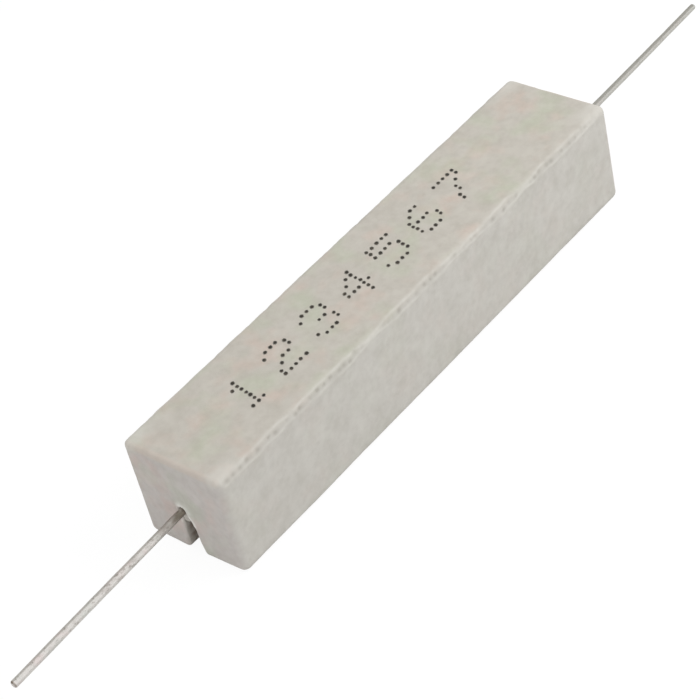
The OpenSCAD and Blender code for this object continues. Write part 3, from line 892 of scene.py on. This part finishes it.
backs = np.arange(DOT_SIDES - 1, -1, -1)[None] + first_point[:, None]

ink_mat, tree, shader, coord = finish("ink", (0.03, 0.027, 0.02), 0.6)
thin_ink = grain(tree, coord, 0.3, detail=4)
colour = tint(tree, (0.019, 0.015, 0.009), (0.10, 0.08, 0.055), between(tree, thin_ink, 0.5, 0.75))
colour = tint(tree, colour, (0.50, 0.48, 0.43), painted(tree, "soaked"))
tree.links.new(colour, shader.inputs["Base Color"])
relief(tree, shader, grain(tree, coord, 0.1), 0.004)
dots_obj, kept = make_piece("digit_dots", dots.reshape(-1, 3), [ink_faces, backs], ink_mat)
soaked = np.zeros(dots.shape[:3]) + np.array([s for _, _, s in DOT_RINGS])[:, None]
paint(dots_obj, "soaked", soaked.reshape(-1)[kept])


# Studio
# A pale floor under the part, a soft lamp above and in front, an even sky, and the camera at
# the photograph's viewing angle.

def sheet(name, corners, faces):
    """A flat studio piece from corners in metres, with a material that has only its output.
    Gives the object, the material's node tree and the output."""
    mesh = bpy.data.meshes.new(name)
    mesh.from_pydata(corners, [], faces)
    obj = bpy.data.objects.new(name, mesh)
    bpy.context.scene.collection.objects.link(obj)
    mat = bpy.data.materials.new(name)
    mat.use_nodes = True
    mesh.materials.append(mat)
    tree = mat.node_tree
    tree.nodes.clear()
    return obj, tree, tree.nodes.new("ShaderNodeOutputMaterial")


def plain(tree, kind, colour, strength=None):
    """A shader of one colour, and of that strength where it gives light."""
    node = tree.nodes.new(kind)
    node.inputs["Color"].default_value = (*colour, 1)
    if strength is not None:
        node.inputs["Strength"].default_value = strength
    return node.outputs[0]


def any_ray(tree, kinds):
    """1 for a ray of any of these kinds, and 0 for the others."""
    path = tree.nodes.new("ShaderNodeLightPath")
    found = path.outputs[kinds[0]]
    for kind in kinds[1:]:
        larger = tree.nodes.new("ShaderNodeMath")
        larger.operation = "MAXIMUM"
        tree.links.new(found, larger.inputs[0])
        tree.links.new(path.outputs[kind], larger.inputs[1])
        found = larger.outputs[0]
    return found


def mixed(tree, kind, *sockets):
    """The shader that a node of that kind makes of its inputs, in their order."""
    node = tree.nodes.new(kind)
    for place, socket in enumerate(sockets):
        tree.links.new(socket, node.inputs[place])
    return node.outputs[0]


FLOOR_HALF, FLOOR_Z = 1.5, -3e-5
signs = ((-1, -1), (1, -1), (1, 1), (-1, 1))
floor_corners = [(FLOOR_HALF * x, FLOOR_HALF * y, FLOOR_Z) for x, y in signs]
floor, tree, output = sheet("floor", floor_corners, [(0, 1, 2, 3)])
lit = plain(tree, "ShaderNodeBsdfDiffuse", (0.8, 0.8, 0.79))
glow = plain(tree, "ShaderNodeEmission", (1, 1, 1), 0.93)
shade = plain(tree, "ShaderNodeBsdfDiffuse", (0.09, 0.09, 0.09))
shown = mixed(tree, "ShaderNodeAddShader", glow, shade)
seen = mixed(tree, "ShaderNodeMixShader", any_ray(tree, ["Is Camera Ray"]), lit, shown)
tree.links.new(seen, output.inputs["Surface"])

world = bpy.data.worlds.new("sky")
bpy.context.scene.world = world
world.use_nodes = True
tree = world.node_tree
tree.nodes.clear()
output = tree.nodes.new("ShaderNodeOutputWorld")
sky = plain(tree, "ShaderNodeBackground", (1, 1, 1), 0.75)
white = plain(tree, "ShaderNodeBackground", (1, 1, 1), 1.0)
by_eye = any_ray(tree, ["Is Camera Ray", "Is Glossy Ray", "Is Transmission Ray"])
tree.links.new(mixed(tree, "ShaderNodeMixShader", by_eye, sky, white), output.inputs["Surface"])


def lamp(name, place, size, energy):
    """A square soft lamp at that place, facing the part."""
    data = bpy.data.lights.new(name, "AREA")
    data.shape = "SQUARE"
    data.size = size
    data.energy = energy
    obj = bpy.data.objects.new(name, data)
    bpy.context.scene.collection.objects.link(obj)
    obj.location = place
    obj.rotation_euler = (-Vector(place)).to_track_quat("-Z", "Y").to_euler()
    obj.visible_camera = False
    obj.visible_glossy = False


lamp("key", (0.08, -0.12, 0.16), 0.12, 0.165)
lamp("fill", (-0.25, -0.06, 0.06), 0.12, 0.034)

# A grey card behind the part, lying and standing, that only the bright wire mirrors
card_points = np.array([
    (-70, 5.5, 0.02), (230, 5.5, 0.02), (330, 62, 0.02), (-70, 62, 0.02), (-70, 62, 190),
    (135, 62, 215), (330, 62, 215), (330, -170, 215), (135, -170, 215)]) / 1000
card, tree, output = sheet("card", card_points.tolist(), [(0, 1, 2, 3), (3, 2, 6, 5, 4), (5, 6, 7, 8)])
card_grey = plain(tree, "ShaderNodeEmission", (0.57, 0.565, 0.545), 1.0)
tree.links.new(card_grey, output.inputs["Surface"])
for ray_kind in ("camera", "diffuse", "transmission", "shadow", "volume_scatter"):
    setattr(card, "visible_" + ray_kind, False)

camera_data = bpy.data.cameras.new("camera")
camera_data.lens = 119.2
camera_data.sensor_width = 36
camera_data.clip_start = 0.01
camera = bpy.data.objects.new("camera", camera_data)
bpy.context.scene.collection.objects.link(camera)
camera_place = Vector((-0.124571, -0.132804, 0.155909))
aim = Vector((-0.0080382, -0.0020017, 0.0078898))
ROLL = math.radians(-14.554)
turned = (aim - camera_place).to_track_quat("-Z", "Y").to_matrix() @ Matrix.Rotation(ROLL, 3, "Z")
camera.matrix_world = Matrix.Translation(camera_place) @ turned.to_4x4()
bpy.context.scene.camera = camera
bpy.context.scene.view_settings.view_transform = "Standard"
